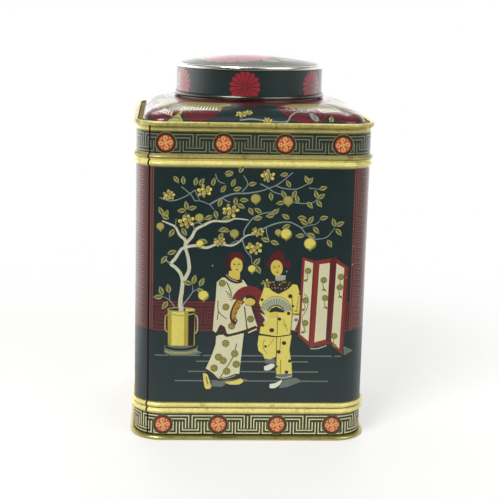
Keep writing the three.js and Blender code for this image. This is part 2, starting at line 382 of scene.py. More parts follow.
class Press:
    """A flat sheet of shapes laid one over another; flip mirrors a design and dx shifts it."""

    def __init__(self, edge, ground="ground"):
        self.shapes = [(ground, edge)]
        self.flip, self.dx = 1, 0.0

    def fill(self, tone, pts):
        """A shape with straight edges, over everything so far."""
        self.shapes.append((tone, [(self.flip * x + self.dx, z) for x, z in pts]))

    def trim(self, x0, x1, z0):
        """Cuts the shapes off at the sheet's two ends and its foot."""
        kept = []
        for tone, pts in self.shapes:
            pts = [(min(max(x, x0), x1), max(z, z0)) for x, z in pts]
            xs, zs = zip(*pts)
            if min(max(xs) - min(xs), max(zs) - min(zs)) > 1e-6:
                kept.append((tone, pts))
        self.shapes = kept

    def rect(self, tone, x0, x1, z0, z1):
        """An upright rectangle."""
        self.fill(tone, [(x0, z0), (x1, z0), (x1, z1), (x0, z1)])

    def oval(self, tone, x, z, rx, rz=None, turn=0.0, n=None):
        """A circle, or an ellipse turned by an angle, with n corners."""
        rz = rx if rz is None else rz
        n = n or max(8, int(10 * math.sqrt(max(rx, rz))))
        c, s = math.cos(turn), math.sin(turn)
        pts = []
        for i in range(n):
            a = 2 * math.pi * i / n
            p, q = rx * math.cos(a), rz * math.sin(a)
            pts.append((x + p * c - q * s, z + p * s + q * c))
        self.fill(tone, pts)

    def curve(self, pts, step=0.7):
        """A smooth line through the points."""
        if len(pts) < 3:
            return list(pts)
        full = [pts[0]] + list(pts) + [pts[-1]]
        out = []
        for a, b, c, d in zip(full, full[1:], full[2:], full[3:]):
            n = max(1, int(math.dist(b, c) / step))
            for i in range(n):
                t = i / n
                out.append(tuple(
                    0.5 * (2 * b[k] + (c[k] - a[k]) * t + (2 * a[k] - 5 * b[k] + 4 * c[k] - d[k]) * t * t
                           + (3 * b[k] - a[k] - 3 * c[k] + d[k]) * t ** 3) for k in (0, 1)))
        out.append(tuple(pts[-1]))
        return out

    def stroke(self, tone, pts, w0, w1=None, straight=False):
        """A line of ink from width w0 to w1, smooth or with mitred corners."""
        w1 = w0 if w1 is None else w1
        line = list(pts) if straight else self.curve(pts)
        n = len(line) - 1
        sides = []
        for i, (x, z) in enumerate(line):
            a, b = line[max(i - 1, 0)], line[min(i + 1, n)]
            dx, dz = b[0] - a[0], b[1] - a[1]
            long = math.hypot(dx, dz) or 1.0
            w = (w0 + (w1 - w0) * i / n) / 2
            if straight and 0 < i < n:
                before, after = math.dist(a, (x, z)), math.dist(b, (x, z))
                dx = (x - a[0]) / before + (b[0] - x) / after
                dz = (z - a[1]) / before + (b[1] - z) / after
                long = math.hypot(dx, dz)
                if long <= 1.9:
                    w *= mitre
            sides.append(((x - dz / long * w, z + dx / long * w), (x + dz / long * w, z - dx / long * w)))
        for (a, b), (c, d) in zip(sides, sides[1:]):
            self.fill(tone, [a, b, d])
            self.fill(tone, [a, d, c])

    def blob(self, tone, pts):
        """A shape with a smooth outline through the points."""
        self.fill(tone, self.curve(list(pts) + [pts[0]])[:-1])

    def leaf(self, x, z, aim, size=4.4):
        """A leaf that points along aim: a pale rim, a duller body and a dark midrib."""
        a = math.radians(aim)
        c, s = math.cos(a), math.sin(a)
        n = 12
        for tone, grow, wide in (("leaf_edge", 1.0, 0.27), ("leaf", 0.8, 0.18)):
            stem, long = size * (1 - grow) / 2, size * grow
            swell = [long * wide * math.sin(math.pi * (i / n) ** 0.85) for i in range(n + 1)]
            pts = [(stem + long * (i / n), swell[i]) for i in range(n + 1)]
            pts += [(stem + long * (i / n), -swell[i] * 0.92) for i in range(n - 1, 0, -1)]
            self.fill(tone, [(x + p * c - q * s, z + p * s + q * c) for p, q in pts])
        rib = [(x + c * size * along - s * sag, z + s * size * along + c * sag)
               for along, sag in ((0.12, 0.0), (0.5, 0.12), (0.86, 0.0))]
        self.stroke("brown", rib, 0.34, 0.14)

    def fruit(self, x, z, r=2.0):
        """A round fruit with a shaded side, greener high in the tree."""
        ripe = "yellow" if z < 78 or r > 2.15 else "pale_fruit"
        self.oval("leaf", x, z, r, r * 0.96)
        self.oval(ripe, x - 0.12, z + 0.1, r * 0.86, r * 0.82)
        self.oval("yellow_shade", x + r * 0.35, z - r * 0.3, r * 0.38, r * 0.3)
        self.oval(ripe, x + r * 0.25, z - r * 0.2, r * 0.3, r * 0.26)
        self.fill("yellow_shade", [(x - 0.35, z - r * 0.9), (x + 0.1, z - r - 0.55),
                                   (x + 0.5, z - r * 0.85)])

    def blossom(self, x, z, r=2.4, turn=0.0, petals=7):
        """A loose head of small round petals, gold and buff, with dark gaps between."""
        rnd = random.Random(int(x * 10) + 7 * int(z * 10))
        for reach, count, big in ((0.76, petals + 1, 0.27), (0.32, petals - 3, 0.3)):
            for i in range(count):
                a = turn + 2 * math.pi * i / count + rnd.uniform(-0.25, 0.25)
                far = r * reach * rnd.uniform(0.85, 1.1)
                px, pz = x + far * math.cos(a), z + 0.82 * far * math.sin(a)
                long, wide = r * big * rnd.uniform(0.9, 1.3), r * big * rnd.uniform(0.7, 0.95)
                self.oval("brown", px, pz, long + 0.16, wide + 0.16, a)
                self.oval(("leaf_edge", "yellow", "gold_mid")[(i + count) % 3], px, pz, long, wide, a)
                px, pz = px - 0.35 * long * math.cos(a), pz - 0.35 * long * math.sin(a)
                self.oval("amber", px, pz, long * 0.4, wide * 0.4, a)

    def roundel(self, x, z, r=1.3):
        """A round flower badge: six buff petals and a heart on an olive disc."""
        self.oval("olive", x, z, r * 0.92, n=16)
        for i in range(6):
            a = i * math.pi / 3 + x
            px, pz = x + 0.56 * r * math.cos(a), z + 0.56 * r * math.sin(a)
            self.oval("leaf_edge", px, pz, r * 0.24, r * 0.13, a)
        self.oval("yellow_shade", x, z, r * 0.24)


def imprint(name, press, place, body, columns=(), levels=()):
    """Prints the shapes on the surface: the topmost shape over a spot decides its ink."""
    # The sheet is cut along every outline, and along columns and levels where it bends.
    verts, edges = [], []
    for _, pts in press.shapes:
        start = len(verts)
        verts += [Vector(p) for p in pts]
        edges += [(start + i, start + (i + 1) % len(pts)) for i in range(len(pts))]
    xs, zs = zip(*press.shapes[0][1])
    cuts = [((x, min(zs)), (x, max(zs))) for x in columns] + [((min(xs), z), (max(xs), z)) for z in levels]
    for cut in cuts:
        edges.append((len(verts), len(verts) + 1))
        verts += [Vector(end) for end in cut]
    pts, _, tris, _, _, _ = delaunay_2d_cdt(verts, edges, [], 0, 1e-5)
    flat_pts = np.array([(q.x, q.y) for q in pts])
    tris = np.array([tuple(tri) for tri in tris])

    # Each triangle takes the number of the last shape that its middle lies in.
    mids = flat_pts[tris].mean(axis=1)
    order = np.argsort(mids[:, 0])
    tris, mids = tris[order], mids[order]
    top = np.full(len(tris), -1)
    for number, (_, shape) in enumerate(press.shapes):
        line = np.array(shape)
        lo, hi = line.min(axis=0), line.max(axis=0)
        a, b = np.searchsorted(mids[:, 0], (lo[0], hi[0]))
        near = np.nonzero((mids[a:b, 1] > lo[1]) & (mids[a:b, 1] < hi[1]))[0] + a
        if not len(near):
            continue
        x, z = mids[near, 0][:, None], mids[near, 1][:, None]
        nxt = np.roll(line, -1, axis=0)
        rise = nxt[:, 1] - line[:, 1]
        rise[rise == 0] = 1e-12
        spans = (line[:, 1] > z) != (nxt[:, 1] > z)
        hits = spans & (x < line[:, 0] + (nxt[:, 0] - line[:, 0]) * (z - line[:, 1]) / rise)
        inside = near[hits.sum(axis=1) % 2 == 1]
        if number:
            inside = inside[top[inside] >= 0]
        top[inside] = number

    # What lies on the sheet is laid on the piece's surface, facing outward.
    kept = top >= 0
    tris = tris[kept]
    marks = [press.shapes[k][0] for k in top[kept]]
    used, inverse = np.unique(tris, return_inverse=True)
    faces = inverse.reshape(-1, 3)
    spots = [place(*flat_pts[k]) for k in used]
    mesh = bpy.data.meshes.new(name)
    (a, outward), (b, _), (c, _) = (spots[k] for k in faces[len(faces) // 2])
    if (b - a).cross(c - a).dot(outward) < 0:
        faces = faces[:, ::-1]
    mesh.from_pydata([s[0] for s in spots], [], faces.tolist())
    names = sorted(set(marks))
    for tone in names:
        mesh.materials.append(INKS[tone])
    slots = {tone: k for k, tone in enumerate(names)}
    for poly, tone in zip(mesh.polygons, marks):
        poly.material_index = slots[tone]
        poly.use_smooth = True
    mesh.update()
    mesh.normals_split_custom_set_from_vertices([s[1] for s in spots])
    obj = bpy.data.objects.new(name, mesh)
    bpy.context.scene.collection.objects.link(obj)
    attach(obj, body)
    return obj


def turned(x, z, angle, pts):
    """The points turned about the origin and moved to x, z."""
    c, s = math.cos(angle), math.sin(angle)
    return [(x + u * c - v * s, z + u * s + v * c) for u, v in pts]


def medallion(p, x, z, ring):
    """Round boss in the key band: pale ring, dark ring, orange disc with four curls."""
    p.oval(ring, x, z, 4.0, n=40)
    p.oval("brown", x, z, 3.75, n=40)
    p.oval("orange", x, z, 2.9, n=36)
    curl = [(0.0, 0.0), (0.75, 0.12), (1.5, 0.62), (2.15, 0.5), (2.4, -0.15), (1.9, -0.72), (1.3, -0.45),
            (1.5, -0.05)]
    for i in range(4):
        a = math.pi / 2 * i + 0.1
        p.stroke("peach", turned(x, z, a, curl), 0.78, 0.6)
        a += math.pi / 4
        p.oval("peach", x + 2.25 * math.cos(a), z + 2.25 * math.sin(a), 0.42, 0.28, a + 1.2)


def key_band(p, z0, z1, u0, u1, tone, w, ring):
    """Key pattern between black rules, with four bosses to a side."""
    p.rect("band", u0, u1, z0, z1)
    p.rect("black", u0, u1, z0, z0 + 0.35)
    p.rect("black", u0, u1, z1 - 0.35, z1)
    top, low = z1 - 0.85, z0 + 0.85
    stub = low + (top - low) * 0.27
    second, inner_top, inner_low = top - 1.25, top - 2.4, low + 1.25
    left_shift = -0.45
    for a, b in ((-32.5, -11.3), (-11.3, 11.3), (11.3, 32.5), (32.5, 50.5), (-50.5, -32.5)):
        mid = (a + b) / 2 + left_shift
        if abs(mid) > 41:
            mid = math.copysign(round(corner_mid, 2), mid)
        first, step = (1.3, 1.12) if a == -b else (0.65, 1.18)
        if a == -b:
            p.stroke(tone, [(mid, top), (mid, stub)], w)
        for s in (-1, 1):
            x = [mid + s * (first + step * i) for i in range(6)]
            out = mid + s * (min((b - a) / 2, 10.6) - 0.4)
            for line in (
                [(out, top), (x[0], top), (x[0], stub)],
                [(out, second), (x[1], second), (x[1], stub)],
                [(x[2], inner_top), (x[2], inner_low)],
                [(x[3], inner_top), (x[3], low)],
                [(x[4], inner_top), (x[4], low), (out, low)],
                [(x[5], inner_top), (x[5], inner_low), (out, inner_low)],
            ):
                p.stroke(tone, line, w, straight=True)
        for n, z in ((2, inner_low), (3, low)):
            p.rect(tone, mid - first - n * step - w / 2, mid + first + n * step + w / 2, z - w / 2,
                   z + w / 2)
    for x in (-32.5, -11.3, 11.3, 32.5):
        medallion(p, x + left_shift, (z0 + z1) / 2, ring)


border_foot, scene_top = 43.5, 105.25


def side_frame(p, u0, u1):
    """What every side shares: gold rules and ribs, key bands, corner borders."""
    # The darker gold strip from 108.9 to 110.3, over the upper half of the top rib, is painted shade. The
    # dull gold line from 108.6 to 108.9 is painted shade where the photo's rib groove looks dark.
    for tone, z0, z1 in (
        ("gold", scene_top, wall_top), ("gold_mid", 118.2, wall_top), ("gold_dull", 118.2, 118.75),
        ("gold_dull", scene_top, 105.55), ("gold_low", 108.9, 110.3), ("gold_dull", 108.6, 108.9),
    ):
        p.rect(tone, u0, u1, z0, z1)
    key_band(p, 110.35, 118.25, u0, u1, "line", 0.36, "line")
    for tone, z0, z1 in (
        # The dull gold line from 12.65 to 13.0, in the groove between the lower ribs, is painted groove
        # shade.
        ("gold", 10.3, 15.15), ("gold_dull", 14.9, 15.2), ("gold_dull", 12.65, 13.0),
        ("gold_dull", print_foot, 2.1),
    ):
        p.rect(tone, u0, u1, z0, z1)
    key_band(p, 1.75, 10.4, u0, u1, "line_pale", 0.42, "olive")
    for s in (-1, 1):
        a, b = sorted((s * 37.15, s * 46.2))
        p.rect("border", max(a, u0), min(b, u1), border_foot, scene_top)
        for x in (37.45, 38.35):
            p.rect("border_line", s * x - 0.14, s * x + 0.14, border_foot, scene_top)
        z = 44.6
        while z < 104.5:
            for x0, x1, z0, z1 in ((38.9, 41.6, 0, 0.28), (39.4, 40.9, 0.95, 1.2), (38.9, 39.2, 0, 1.75)):
                p.rect("border_line", *sorted((s * x0, s * x1)), z + z0, z + z1)
            z += 2.05


def low_wall(p, x0, x1):
    """The lattice wall behind the figures."""
    for tone, z0, z1 in (("wall", 43.4, 54.8), ("wall_line", 54.2, 54.6), ("wall_line", 53.1, 53.4),
                         ("red", 43.3, 43.65), ("wall_line", 44.7, 44.95)):
        p.rect(tone, x0, x1, z0, z1)
    x = x0 + 1.2
    while x < x1 - 4:
        for a, b, c, d in ((0, 3.2, 51.6, 51.9), (0, 0.28, 46.2, 51.9), (3.2, 3.48, 46.2, 51.9),
                           (0, 3.2, 46.2, 46.5), (0.9, 2.6, 50.2, 50.5), (0.9, 1.2, 47.6, 50.5),
                           (1.2, 2.6, 47.6, 47.9), (2.0, 2.6, 49.0, 49.25)):
            p.rect("wall_line", x + a, x + b, c, d)
        x += 4.6


def pot_tree(p):
    """Fruit tree with crossing stems, trained up from a brass pot."""
    for pts, w0, w1 in (
        ([(-26.4, 51), (-26.4, 55), (-25.9, 59), (-25.6, 63)], 1.75, 1.6),
        ([(-25.7, 62), (-24.2, 64.6), (-23.3, 67), (-23.5, 70), (-24, 72.5), (-25, 75.6)], 1.5, 1.3),
        ([(-25.5, 62), (-26.6, 65.5), (-28.8, 68), (-30.2, 69), (-28.6, 71), (-27.1, 73.5), (-26.2, 74.8),
          (-25, 75.3)], 1.3, 1.3),
        ([(-25, 75), (-24.9, 78), (-27, 80), (-28.6, 83), (-30.8, 84.2), (-33.6, 85.3)], 1.4, 0.5),
        ([(-25, 76.5), (-22.4, 79.5), (-21.2, 82), (-18.4, 83.7), (-14.6, 85.4), (-9.6, 85.3), (-6.6, 86.4),
          (-1.6, 86)], 1.3, 0.45),
        ([(-25, 75.4), (-20.8, 76.1), (-17, 75.3), (-12.6, 76.8), (-8, 76.2), (-5.2, 77.4), (-3.6, 79),
          (-1.8, 80.2), (1, 80.6)], 1.2, 0.5),
    ):
        p.stroke("bark", pts, w0, w1 * 0.85)
    for pts, w0, w1 in (
        ([(-3, 79.4), (-3.2, 81.6), (-2, 84), (0, 86.6), (3.4, 88.4), (8.2, 89.4), (9.6, 90.6)], 0.7, 0.4),
        ([(1, 80.6), (4, 82.8), (8.8, 84.8), (13.2, 85.4), (16, 84.4), (18.2, 83), (20.4, 80.4), (23.2, 79),
          (27.4, 79.6), (29.2, 81.4), (30.6, 83.4)], 0.75, 0.4),
        ([(18, 83.2), (21, 84.2), (23.4, 84.6), (24.8, 86)], 0.5, 0.35),
        ([(5, 83.2), (5.4, 80.6), (6.2, 78.4)], 0.5, 0.35),
        ([(-3.8, 78.8), (-2.4, 74.6), (-0.2, 71.8), (0, 69.8), (0.9, 69.2)], 0.65, 0.35),
        ([(-8.4, 76.4), (-6, 78), (-3.4, 77.6)], 0.45, 0.35),
        ([(-34.6, 94), (-30.2, 92.8), (-25.4, 94.4), (-21.6, 97)], 0.5, 0.45),
        ([(-26.6, 98.2), (-23, 95.2), (-21.6, 93), (-19.8, 93), (-16.2, 91.6), (-14.6, 89.8)], 0.5, 0.4),
        ([(-21.6, 97), (-20, 93.4)], 0.5, 0.4),
        ([(-16.2, 91.6), (-11.6, 94.2), (-7, 95.8), (-2.4, 96), (3, 97), (5.6, 98), (8.2, 99), (11, 101),
          (14.4, 104)], 0.8, 0.45),
        ([(-11.6, 94.2), (-9.8, 93), (-8.4, 92.6)], 0.5, 0.35),
        ([(-4.2, 96.6), (-2.2, 99.4), (-3.8, 102.6)], 0.5, 0.4),
        ([(-14.2, 103), (-13, 100.4), (-10.6, 99.4)], 0.5, 0.35),
        ([(2.4, 99.6), (5.6, 98), (7.4, 96.6), (11.6, 95.2), (15, 93)], 0.6, 0.35),
        ([(8.2, 99), (11, 98), (15.8, 97.8), (20, 99.8)], 0.6, 0.35),
        ([(15, 92.8), (18.4, 92.4), (22, 92.8), (23.8, 94.2)], 0.5, 0.35),
        ([(20.4, 98.2), (24.2, 97.8)], 0.4, 0.35),
        ([(-31.6, 72), (-32, 70.6), (-30.2, 69)], 0.5, 0.8),
        ([(-21.4, 82), (-22, 84), (-20.4, 84.8), (-18, 83.8)], 0.5, 0.4),
        ([(-28.6, 83), (-28.4, 86.2)], 0.4, 0.3),
        ([(-26, 52.6), (-23.4, 56), (-21.6, 58.8)], 0.7, 0.5), ([(-21.8, 58.4), (-22, 61)], 0.45, 0.3),
        ([(-21.8, 58.4), (-19.2, 60)], 0.45, 0.3), ([(-28, 51.6), (-30.4, 55), (-32.8, 56.4)], 0.6, 0.35),
        ([(-30.4, 55), (-30.6, 57.4)], 0.5, 0.3), ([(-24.6, 88.4), (-26, 86.8)], 0.4, 0.3),
    ):
        p.stroke("twig", pts, w0 * 0.78, w1 * 0.75)
    for x, z, aim in (
        (-29.4, 102, -55), (-25.8, 99, 95), (-21.6, 98.6, 80), (-20, 98.8, 55), (-15.2, 98.6, 75),
        (-12, 96.2, 55), (-7.4, 97, 20), (-8, 98.4, 70), (-24.4, 89.6, 100), (-24.8, 89.4, 185),
        (-24, 89.8, 15), (-32.6, 86.4, 70), (-33.2, 87.6, 120), (-31, 86, 150), (-29.2, 82.2, 240),
        (-26.2, 82.6, -60), (-12.8, 90.8, 70), (-14, 89.4, -80), (-11.4, 86, 15), (-15, 87.4, 205),
        (-5, 93.4, 0), (-6, 91.8, -25), (-6.6, 94.4, -90), (-1.6, 90.6, -60), (-11.6, 82.6, -20),
        (-9.6, 82.8, -160), (-16.6, 77.2, 160), (-12.6, 78.2, 60), (-31.4, 72.8, 20), (-31.8, 72, 235),
        (-21.8, 61.4, 75), (-22.2, 61.4, 165), (-19.4, 60.6, 60), (-20.2, 59.4, -30), (-33, 56.4, 185),
        (-33, 57, 110), (-30.6, 57.8, 100), (-31.2, 54.6, 235), (3.2, 88.8, 150), (9.6, 90, -150),
        (3.4, 87.2, 200), (8, 88, 190), (13.6, 86.6, 150), (16.6, 87, 0), (20.8, 84.8, 60),
        (20.4, 84.6, 150), (24.8, 86.6, 15), (22.6, 83.6, -50), (30.8, 83.8, 110), (31.2, 84, 30),
        (31, 83, -50), (19.4, 80.4, 185), (23.4, 79.6, 150), (28, 78.8, -60), (6.4, 78, 160),
        (6.8, 78, -20), (14, 84.2, 200), (15.8, 97.2, 240), (13.6, 98.4, 120), (20, 99.6, 55),
        (20.2, 100, 115), (24.2, 97.8, 15), (6.2, 96.4, -80), (12, 94.4, 120), (15.8, 95.4, -75),
        (23.8, 94.4, 110), (23.9, 94.2, 35), (23.4, 93.6, -50), (20, 93, -50), (-2, 99.2, 10),
        (11.6, 92.8, 190), (0.8, 68.8, 50), (1.6, 68.6, -60), (12.6, 103.4, 190), (-7.6, 103.8, -150),
        (-5.4, 103.6, 60), (-10.8, 103, 20),
    ):
        p.leaf(x, z, aim, 3.7 - 0.013 * max(z - 60, 0))
    for x, z, r in ((-6.7, 80.8, 1.75), (0.9, 94, 1.9), (12.6, 80.8, 2.2), (21.6, 77.2, 2.4),
                    (-17.8, 57, 2.1), (0.2, 67.4, 1.6), (12.9, 93.4, 1.9), (-19.8, 86.6, 1.7),
                    (9.6, 81.4, 1.3), (-34.2, 83.2, 1.5), (-19.4, 76.8, 1.5)):
        p.fruit(x, z, r)
    for x, z, r, a in ((-24.6, 85.2, 3.1, 0.3), (-31.2, 94.8, 2.4, 0.9), (-18.2, 96.6, 2.8, 0.2),
                       (-8.4, 89.4, 3.0, 0.0), (5.2, 102.6, 2.7, 0.5), (0.9, 75.4, 2.9, 0.4),
                       (2, 81.6, 2.3, 1.0), (-12.2, 77.6, 2.2, 0.7)):
        p.blossom(x, z, r, a, 6)


def brass_pot(p):
    """Planter with side handles and a patterned foot ring."""
    p.stroke("leaf_edge", [(-31.2, 49.6), (-32.2, 49), (-32.3, 43.6), (-31.4, 42.6)], 0.5)
    p.stroke("cream_shade", [(-21.4, 49.6), (-20.3, 48.8), (-20.2, 43.4), (-21.2, 42.2)], 0.5)
    p.fill("yellow_shade", [(-31.4, 51.6), (-31.2, 38), (-30.4, 37), (-26, 36.4), (-21.6, 37), (-21.1, 38),
                            (-21.2, 51.4)])
    p.rect("yellow", -29.9, -25.2, 37.2, 50.6)
    p.fill("black", [(-23.7, 50.6), (-23.6, 36.8), (-21.6, 37.2), (-21.2, 50.8)])
    p.fill("yellow_shade", [(-25.2, 50), (-25.2, 37), (-24.4, 37), (-24.4, 50)])
    p.oval("leaf_edge", -26.4, 51.5, 5.3, 0.95, n=24)
    p.oval("brown", -26.6, 51.5, 4.4, 0.55, n=22)
    p.fill("yellow", [(-25, 51.9), (-21.6, 51.7), (-21.2, 51.3), (-24.6, 50.9)])
    p.stroke("leaf_edge", [(-31.4, 50), (-26.4, 49.1), (-21.4, 50)], 0.45)
    p.stroke("bark", [(-26.4, 50.8), (-26.4, 53)], 1.9, 1.7)
    p.fill("grey", [(-32.6, 37.4), (-32.4, 34.6), (-30.2, 33.4), (-22.4, 33.4), (-18.2, 34.6), (-20, 35.6),
                    (-20, 37.4)])
    p.stroke("black", [(-32.2, 37), (-29, 36), (-24, 36), (-20.4, 37.2)], 0.9)
    p.stroke("leaf_edge", [(-32.4, 35.4), (-29.6, 34.6), (-23.6, 34.6), (-20.2, 35.6)], 0.8)
    for x in (-31.2, -29.6, -23.2, -21.6):
        p.oval("brown", x, 35, 0.55, 0.4)
        p.oval("yellow", x, 35, 0.25)


def face(p, x, z, turn):
    """A small plain face: oval, two brows, eyes, nose and mouth at even thirds."""
    p.oval("flesh", x, z, 2.25, 3.1, turn, n=22)
    for u in (-0.85, 0.85):
        p.stroke("yellow_shade", turned(x, z, turn, [(u - 0.5, 0.95), (u, 1.15), (u + 0.5, 0.95)]), 0.22)
        p.stroke("brown", turned(x, z, turn, [(u - 0.42, 0.4), (u, 0.5), (u + 0.42, 0.4)]), 0.34)
    p.stroke("yellow_shade", turned(x, z, turn, [(0.05, 0.2), (0.2, -0.6), (-0.15, -0.75)]), 0.26)
    p.stroke("red", turned(x, z, turn, [(-0.5, -1.5), (0, -1.6), (0.5, -1.5)]), 0.38)


def robed_figure(p):
    """Figure in a long cream robe, holding an open red fan."""
    p.fill("grey", [(-15, 21.4), (-10.4, 21.2), (-8.8, 22.6), (-3.4, 22.8), (-0.6, 24), (-2.2, 24.4),
                    (-14, 23.6)])
    p.blob("yellow", [(-17.8, 26.6), (-16.2, 26.2), (-15.2, 23.4), (-14.6, 20.8), (-16.6, 20.4),
                      (-17.4, 22.8)])
    p.stroke("brown", [(-16.6, 25.2), (-15.8, 22.2)], 0.35)
    p.blob("yellow", [(-9.4, 23.2), (-6, 23.6), (-3.4, 24.6), (-2.4, 23.4), (-4, 22.2), (-7.8, 22.2)])
    p.fill("cream", [(-13, 41.6), (-2.6, 42.4), (-3.2, 36), (-4, 26.2), (-11.4, 24), (-16.8, 28.4),
                     (-14.6, 33.6), (-13.2, 38)])
    p.stroke("brown", [(-16.8, 28), (-14.2, 26.2), (-12.4, 24.3), (-11, 23.9)], 0.95)
    p.stroke("brown", [(-11, 24.2), (-8.4, 24.6), (-5.4, 25.8), (-3.8, 25.8)], 1.15)
    p.stroke("cream_shade", [(-10.4, 24.4), (-8, 24.8), (-5.4, 25.8)], 0.3)
    p.stroke("brown", [(-5.2, 38.4), (-6.6, 33), (-9.4, 28), (-11.4, 24.6)], 0.34)
    for x, z in ((-9.4, 38.4), (-12, 33), (-5.9, 34.4), (-13.6, 28.6), (-8.8, 27.4), (-5.2, 30.2),
                 (-10.2, 31.6)):
        p.roundel(x, z, 1.55)
    robe = [(-11.2, 64), (-13.2, 62.2), (-13.5, 56), (-14, 50), (-14.4, 43.4), (-12.6, 42.2), (-11.2, 45),
            (-9, 41.4), (-5, 42.4), (-1.6, 43.2), (-2.4, 50), (-2.2, 57), (-1.6, 60.6), (-3.2, 63),
            (-5, 63.6)]
    p.fill("cream", robe)
    p.fill("cream", [(-2.6, 53.4), (-0.2, 53), (2.4, 45.2), (-1.2, 43.8)])
    p.stroke("brown", [(-2.6, 52.8), (-1.6, 45.4), (-1.2, 43.6)], 0.4)
    p.fill("wall", [(-0.2, 53.4), (1.2, 53.4), (3.2, 45.4), (2.4, 45.2)])
    p.stroke("brown", [(-13.2, 41.6), (-12, 43.2), (-11.4, 45.2), (-10.4, 44.4), (-9.6, 42), (-8.6, 41.4)],
             1.35)
    p.stroke("brown", [(-8.8, 41.4), (-5, 42.4), (-1.4, 43.6), (2, 45)], 0.95)
    p.stroke("cream", [(-1, 42.6), (0.6, 43.4), (2.2, 44.2)], 0.5)
    p.stroke("brown", [(-12.6, 55), (-12.4, 51), (-10.6, 49), (-9.2, 48)], 0.3)
    p.stroke("brown", [(-12.4, 51), (-12.8, 47.6)], 0.3)
    p.stroke("brown", [(-9.6, 62.4), (-8.2, 59.4), (-7.6, 57.6)], 0.34)
    for k in range(4):
        p.stroke("brown", [(-9.8 + 0.5 * k, 58.8 - 1.1 * k), (-7.4 + 0.2 * k, 57 - 0.5 * k)], 0.24)
    for x, z in ((-11.2, 61.8), (-7.3, 45.2), (-0.2, 48), (-9.6, 52.6)):
        p.roundel(x, z, 1.5)
    p.stroke("red_dark", [(-3.6, 55.6), (-5.4, 53.4), (-6.8, 50), (-6.6, 47.4), (-5.4, 46.6)], 3.0, 2.2)
    p.stroke("amber", [(-3.8, 55.4), (-5.5, 53), (-6.6, 50), (-6.5, 47.8)], 2.0, 1.3)
    for x, z in ((-4.6, 54.2), (-5.6, 52), (-6.2, 50), (-6.4, 48.2)):
        p.oval("olive", x, z, 0.5, 0.4)
        p.oval("cream", x + 0.5, z - 0.8, 0.28)
    p.oval("hair_dark", -6.9, 70.4, 3.2, 3.4, n=26)
    p.oval("hair_dark", -8.5, 68.6, 1.5, 2.4, 0.2, n=18)
    p.oval("hair", -6.0, 71.0, 2.7, 2.8, n=24)
    p.fill("flesh", [(-8.6, 66.6), (-4.6, 66.6), (-4.6, 63.2), (-9.4, 63.2)])
    face(p, -5.9, 68.6, 0.08)
    p.stroke("hair", [(-8.6, 70.2), (-6.4, 72.2), (-3.9, 71)], 1.0)
    p.stroke("brown", [(-10.2, 65.2), (-8.4, 63.4), (-5.6, 62.4), (-3.8, 63)], 1.5)
    p.stroke("cream_shade", [(-9.8, 65.2), (-8, 63.4), (-5.4, 62.5)], 0.3)
    fan(p, "red", "red_dark", -1, 54.4, 6.4, 2.7, 12, 168)
    p.blob("flesh", [(-2.8, 55.4), (-0.6, 56.2), (1.4, 55), (0.6, 53.4), (-2, 53.6)])


def fan(p, tone, shade, x, z, big, small, a0, a1, n=20):
    """An open pleated fan as a half ring with folds."""
    radii = (big, big - 0.2, small)
    rim, fold_ends, heart = (arc_points(x, z, r, math.radians(a0), math.radians(a1), n) for r in radii)
    p.fill(tone, rim + heart[::-1])
    for start, end in zip(heart[1:-1], fold_ends[1:-1]):
        p.stroke(shade, [start, end], 0.2, 0.26)
    p.stroke("brown", heart, 0.4)


